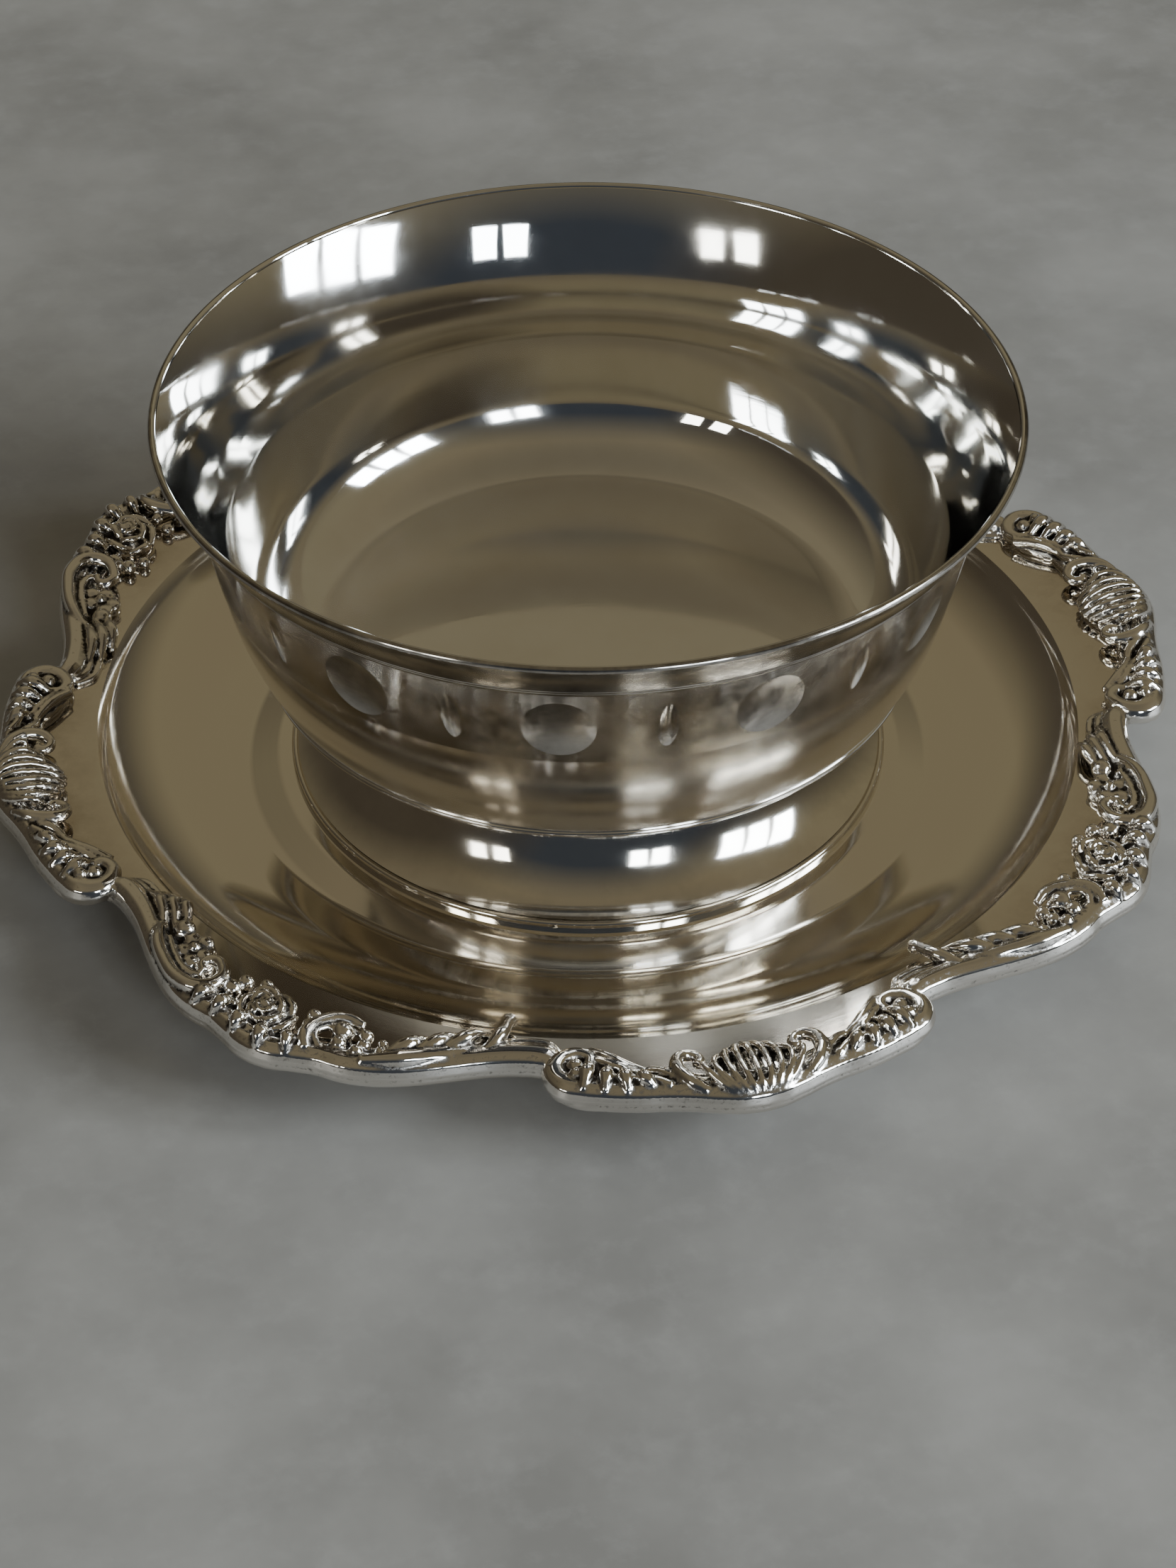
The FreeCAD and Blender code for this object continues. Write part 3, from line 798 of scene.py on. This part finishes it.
def roseSpray(edge):
    parts = []
    # leaf that leads in from the notch along the rail
    for low, high, inset in ((-24.4, -17.6, 4.6), (-23.2, -16.8, 6.3), (-21.2, -16.2, 8.0)):
        parts.append(strand(edge, [(low, inset, 0.8), ((low + high) / 2, inset + 0.3, 2.3),
                                   (high, inset - 0.6, 1.6)],
                            [0.4, 1.05, 0.6]))
    parts.append(bud(edge, (-16.2, 7.0, 1.6), (1.6, 1.6, 1.5)))
    # scroll that holds the small flower
    scroll = [(-18.2, 3.6, 2.0), (-16.4, 2.2, 2.6), (-13.4, 1.7, 2.7), (-10.2, 1.9, 2.8), (-8.0, 3.5, 2.8),
              (-7.4, 6.0, 2.7),
              (-8.4, 8.3, 2.5), (-10.2, 8.5, 2.3), (-10.7, 6.9, 2.2), (-9.7, 6.0, 2.2)]
    parts.append(strand(edge, scroll, [0.6, 1.0, 1.15, 1.2, 1.2, 1.15, 1.0, 0.85, 0.7, 0.65]))
    parts.append(strand(edge, [(-16.4, 4.4, 1.8), (-13.4, 3.9, 2.0), (-11.0, 4.2, 2.1), (-9.6, 5.4, 2.1)],
                        [0.35, 0.55, 0.55, 0.4]))
    parts += flowerHead(edge, (-13.2, 7.2, 1.2), 3.0, 5)
    # rose, the buds beside it and the frilled leaves that hang over the rail
    parts += roseHead(edge, (-1.4, 7.2, 1.8), 4.2)
    for angle, tip, width in ((-6.9, -7.7, 1.05), (-4.8, -5.3, 1.2), (-2.4, -2.5, 1.25), (0.0, 0.4, 1.2),
                              (2.2, 3.0, 1.0)):
        parts.append(strand(edge, [(angle, 4.6, 1.7), ((angle + tip) / 2, 2.6, 3.3), (tip, 0.7, 2.0)],
                            [0.6, width, 0.35]))
    for angle, inset, lift, size in ((-6.3, 6.9, 1.5, 1.45), (-6.0, 9.4, 1.2, 1.2),
                                     (-4.2, 11.2, 0.9, 1.05), (2.4, 10.4, 1.0, 1.1),
                                     (2.8, 7.6, 1.6, 1.0)):
        parts.append(bud(edge, (angle, inset, lift), (size, size, size)))
    # ribbed curl and the cluster of berries in it
    for shift, width in ((0, 1.1), (1.0, 0.6)):
        curl = [(4.4 + shift, 1.6 + shift, 2.3), (3.6 + shift * 0.8, 4.4, 2.8),
                (4.1 + shift * 0.7, 7.4 - shift, 2.7),
                (5.9, 9.4 - shift * 1.6, 2.2), (7.8, 9.3 - shift * 1.6, 1.8)]
        parts.append(strand(edge, curl, [width * 0.7, width, width, width * 0.9, width * 0.6]))
    for angle, inset, lift, size in ((6.4, 6.6, 2.1, 1.65), (8.5, 7.4, 1.6, 1.15), (6.8, 4.1, 2.4, 1.2),
                                     (8.9, 5.2, 1.9, 1.05),
                                     (8.7, 3.3, 2.5, 1.0), (10.6, 4.6, 1.6, 0.9), (12.0, 5.4, 1.2, 0.75),
                                     (10.3, 6.6, 1.2, 0.8)):
        parts.append(bud(edge, (angle, inset, lift), (size, size, size)))
    # long leaf with fingers, and the curled bud that ends it
    parts.append(strand(edge, [(9.4, 1.8, 2.2), (12.6, 2.1, 2.4), (16.6, 2.6, 2.1), (20.4, 3.4, 1.7)],
                        [0.8, 1.35, 1.2, 0.6]))
    for root, tip, inset in ((11.2, 14.8, 7.4), (13.6, 17.4, 7.6), (16.0, 20.0, 7.2)):
        parts.append(strand(edge, [(root, 2.9, 2.2), ((root + tip) / 2, 4.8, 3.0), (tip, inset, 1.2)],
                            [0.7, 1.15, 0.35]))
    parts.append(strand(edge, [(20.2, 2.8, 2.0), (21.2, 5.4, 2.5), (21.6, 8.6, 2.2)], [0.8, 1.1, 0.8]))
    parts.append(bud(edge, (21.6, 8.9, 1.9), (1.2, 1.2, 1.1)))
    return parts


def castTogether(parts, name):
    # the separate masses become one casting with soft valleys
    casting = joinAll(parts, name)
    useModifier(casting, "REMESH", mode="VOXEL", voxel_size=border["voxel"])
    useModifier(casting, "SMOOTH", factor=0.5, iterations=2)
    pick([casting])
    bpy.ops.object.shade_smooth()
    markWorn(casting)
    return casting


def markWorn(casting):
    # how far each point stands out from a smoothed copy: crests are rubbed bright, valleys keep their oxide
    calm = copyPiece(casting, "calmCopy")
    useModifier(calm, "SMOOTH", factor=1, iterations=border["wornSpread"])
    worn = casting.data.attributes.new("worn", "FLOAT", "POINT")
    for mark, vertex, still in zip(worn.data, casting.data.vertices, calm.data.vertices):
        mark.value = 0.5 + (vertex.co - still.co).dot(vertex.normal) / border["crestHeight"]
    bpy.data.objects.remove(calm)


castLook = {
    "colour": (0.82, 0.79, 0.74), "oxide": (0.05, 0.042, 0.034), "roughness": 0.10, "oxideRoughness": 0.5,
    "wornRange": (0.36, 0.50), "speckleScale": 1500, "speckleBump": 4e-6,
}
solderLook = {
    "colour": (0.62, 0.60, 0.56), "tarnishAndShadeColour": (0.20, 0.17, 0.14), "tarnishAndShade": 0.9, "tarnishScale": 400,
    "tarnishAndShadeFrom": None, "ringScale": 900, "ringDrift": 4.0, "ringBump": 1e-5, "waveBump": 2e-5,
    "grainScale": 2500, "grainBump": 3e-6, "dentBump": 1e-5, "brushed": 0, "smudgeScale": 300,
    "roughness": (0.18, 0.4),
}


def makeBorder():
    silver = castSilver("castSilver", castLook)
    half = border["shellHalf"] - border["jointGap"]
    hookStart = half - border["hookReach"]
    parts = railRods(shellEdge, -hookStart, hookStart) + shellFan(shellEdge)
    for side in (-1, 1):
        parts += leafCurl(shellEdge, side, half)
    shell = castTogether(parts, "shellCasting")
    half = 45 - border["shellHalf"] - border["jointGap"]
    parts = railRods(roseEdge, -half, half, border["wireTuck"])
    parts += roseSpray(roseEdge)
    rose = castTogether(parts, "roseCasting")
    for casting in (shell, rose):
        giveMaterial(casting, silver)
    for index, side in enumerate(("front", "right", "back", "left")):
        copy = copyPiece(shell, "shellCasting_" + side, turn=90 * index)
        finishPiece(copy, "cast_silver_plate", "border_shell_" + side)
    for index in range(4):
        name = "roseCasting_%d" % (index + 1)
        copy = copyPiece(rose, name, turn=45 + 90 * index, mirrored=index % 2 == 0)
        finishPiece(copy, "cast_silver_plate", "border_rose_%d" % (index + 1))
    print("border made", len(shell.data.polygons), len(rose.data.polygons))
    bpy.data.objects.remove(shell)
    bpy.data.objects.remove(rose)


def makeJointDrops(material):
    drops = []
    radius = border["notchRadius"] - border["dropInset"]
    for index in range(4):
        for side in (-1, 1):
            turn = math.radians(index * 90 + side * border["shellHalf"])
            startClean()
            bpy.ops.mesh.primitive_ico_sphere_add(subdivisions=3, radius=border["dropRadius"])
            drop = bpy.context.object
            drop.scale = border["dropShape"]
            drop.rotation_euler.z = turn
            drop.location = (radius * math.sin(turn), -radius * math.cos(turn), flangeTop(radius))
            bpy.ops.object.transform_apply(location=True, rotation=True, scale=True)
            drops.append(drop)
    joined = joinAll(drops, "jointSolderDrops")
    pick([joined])
    bpy.ops.object.shade_smooth()
    giveMaterial(joined, material)
    finishPiece(joined, "solder", "border_joint_solder")


# Stage

stage = {
    "cameraTurn": -15.0,
    "cameraReach": 424.1 * mm,
    "cameraHeight": 343.3 * mm,
    "cameraPitch": 39.53,
    "lens": 80.07,
    "tableSize": 6.0,
    "tableDark": (0.26, 0.252, 0.235),
    "tablePale": (0.40, 0.39, 0.365),
    "tableFleck": (0.46, 0.45, 0.425),
    # name, count, first turn from the camera, step, height angle, size, distance, power, colour
    "windows": (("windowRight", 2, 21, 9, 24, (0.24, 0.55), 2.2, 8, (0.84, 0.92, 1.0)),
                ("windowSide", 3, 62, 12, 26, (0.34, 0.75), 2.2, 18, (0.84, 0.92, 1.0)),
                ("windowLeft", 2, -36, -10, 24, (0.24, 0.5), 2.4, 4, (0.95, 0.95, 0.9))),
}


def makeTable(s):
    startClean()
    bpy.ops.mesh.primitive_plane_add(size=s["tableSize"], location=(0, 0, 0))
    table = bpy.context.object
    table.name = "tableTop"
    material, nodes, links, shader = newMaterial("paleStone")
    place = nodes.new("ShaderNodeTexCoord").outputs["Object"]
    cloud = addNoise(nodes, links, place, 14, 6, 0.6)
    spot = addNoise(nodes, links, place, 120, 5, 0.7)
    base = mixColours(nodes, links, remap(nodes, links, cloud, 0, 1), s["tableDark"], s["tablePale"])
    flecks = remap(nodes, links, spot, 0, 0.25, 0.5, 0.75)
    links.new(mixColours(nodes, links, flecks, base, s["tableFleck"]), shader.inputs["Base Color"])
    links.new(remap(nodes, links, spot, 0.42, 0.6), shader.inputs["Roughness"])
    giveMaterial(table, material)


def softbox(name, azimuth, height, width, tall, distance, power, colour):
    turn = math.radians(azimuth)
    rise = math.radians(height)
    way = Vector((math.sin(turn) * math.cos(rise), -math.cos(turn) * math.cos(rise), math.sin(rise)))
    light = bpy.data.lights.new(name, "AREA")
    light.shape = "RECTANGLE"
    light.size = width
    light.size_y = tall
    light.energy = power
    light.color = colour
    lamp = bpy.data.objects.new(name, light)
    bpy.context.scene.collection.objects.link(lamp)
    lamp.location = way * distance
    lamp.rotation_euler = way.to_track_quat("Z", "Y").to_euler()


def makeStudio():
    # warm dim room, darker behind the camera and on its left, lit by tall cool softboxes
    world = bpy.data.worlds.new("softStudio")
    bpy.context.scene.world = world
    world.use_nodes = True
    nodes = world.node_tree.nodes
    links = world.node_tree.links
    place = nodes.new("ShaderNodeTexCoord").outputs["Generated"]
    apart = nodes.new("ShaderNodeSeparateXYZ")
    links.new(place, apart.inputs["Vector"])
    ramp = nodes.new("ShaderNodeValToRGB")
    links.new(apart.outputs["Z"], ramp.inputs["Fac"])
    colours = ((0.0, (0.05, 0.046, 0.038, 1)), (0.22, (0.11, 0.096, 0.066, 1)),
               (0.5, (0.205, 0.178, 0.113, 1)),
               (0.8, (0.20, 0.17, 0.11, 1)), (1.0, (0.15, 0.13, 0.09, 1)))
    for element, (position, colour) in zip(ramp.color_ramp.elements, (colours[0], colours[-1])):
        element.position, element.color = position, colour
    for position, colour in colours[1:-1]:
        ramp.color_ramp.elements.new(position).color = colour
    turn = math.radians(stage["cameraTurn"])
    shown = ramp.outputs["Color"]
    darkSides = (((math.sin(turn), -math.cos(turn), -0.35), (0.1, 0.7), (0.040, 0.046, 0.056)),
                 ((-math.cos(turn), -math.sin(turn), -0.15), (0.25, 0.8), (0.060, 0.050, 0.036)))
    for way, span, colour in darkSides:
        facing = nodes.new("ShaderNodeVectorMath")
        facing.operation = "DOT_PRODUCT"
        links.new(place, facing.inputs[0])
        facing.inputs[1].default_value = way
        amount = remap(nodes, links, facing.outputs["Value"], 0, 1, *span)
        shown = mixColours(nodes, links, amount, shown, colour)
    links.new(shown, nodes["Background"].inputs["Color"])
    nodes["Background"].inputs["Strength"].default_value = 1.0
    for name, count, first, step, height, (width, tall), distance, power, colour in stage["windows"]:
        for index in range(count):
            azimuth = stage["cameraTurn"] + first + index * step
            softbox("%s_%d" % (name, index), azimuth, height, width, tall, distance, power, colour)


def makeCamera(s):
    turn = math.radians(s["cameraTurn"])
    pitch = math.radians(s["cameraPitch"])
    camera = bpy.data.objects.new("camera", bpy.data.cameras.new("camera"))
    bpy.context.scene.collection.objects.link(camera)
    camera.location = (math.sin(turn) * s["cameraReach"], -math.cos(turn) * s["cameraReach"],
                       s["cameraHeight"])
    camera.rotation_euler = (math.pi / 2 - pitch, 0, turn)
    camera.data.lens = s["lens"]
    camera.data.sensor_width = 36
    camera.data.clip_start = 0.01
    bpy.context.scene.camera = camera


makeCamera(stage)
makeTable(stage)
makeStudio()
makeBowl(bowl)
makeFoot(foot)
solderSilver = turnedSilver("solderSilver", solderLook)
solderRing("neckSolder", foot["neckRadius"], bowlLow.z, 1, -1, solderSilver, "bowl_to_foot_solder")
footInner = footHigh.x - foot["flareInset"] - 2 * foot["wall"]
solderRing("baseSolder", footInner, footLow.z, -1, 1, solderSilver, "foot_to_plate_solder")
makePlate(plate)
makeBorder()
makeJointDrops(solderSilver)
